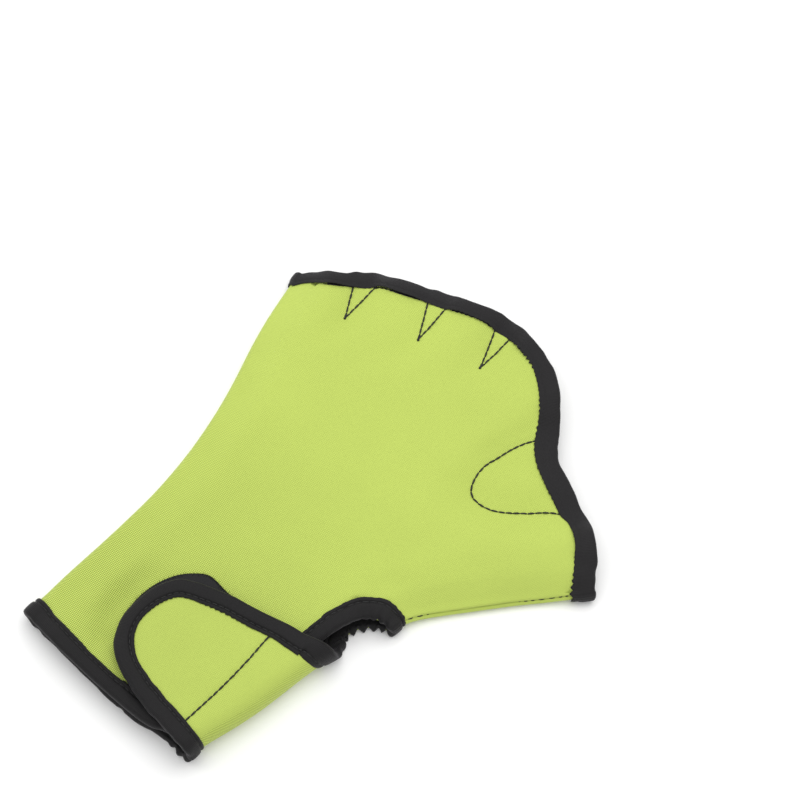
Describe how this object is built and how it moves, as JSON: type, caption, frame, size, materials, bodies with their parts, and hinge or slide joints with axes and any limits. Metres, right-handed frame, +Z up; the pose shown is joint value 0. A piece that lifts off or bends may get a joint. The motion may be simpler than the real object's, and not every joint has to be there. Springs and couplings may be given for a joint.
{
  "type": "webbed swim glove",
  "caption": "Open-finger webbed swim glove of neoprene with taped edges and a strap tab that closes with a hook patch at the wrist.",
  "frame": {"origin": "middle of the glove's footprint, on the surface it lies on", "axes": "+Z up, +Y from the wrist to the finger tips, +X towards the thumb side"},
  "size_m": [0.181, 0.2254, 0.0166],
  "materials": {
    "neoprene": "matte",
    "binding_tape": "matte",
    "hook_tape": "matte"
  },
  "bodies": {
    "root": {"neoprene_shell": "neoprene", "finger_binding": "binding_tape", "wrist_binding": "binding_tape", "hook_patch": "hook_tape"}
  },
  "joints": []
}
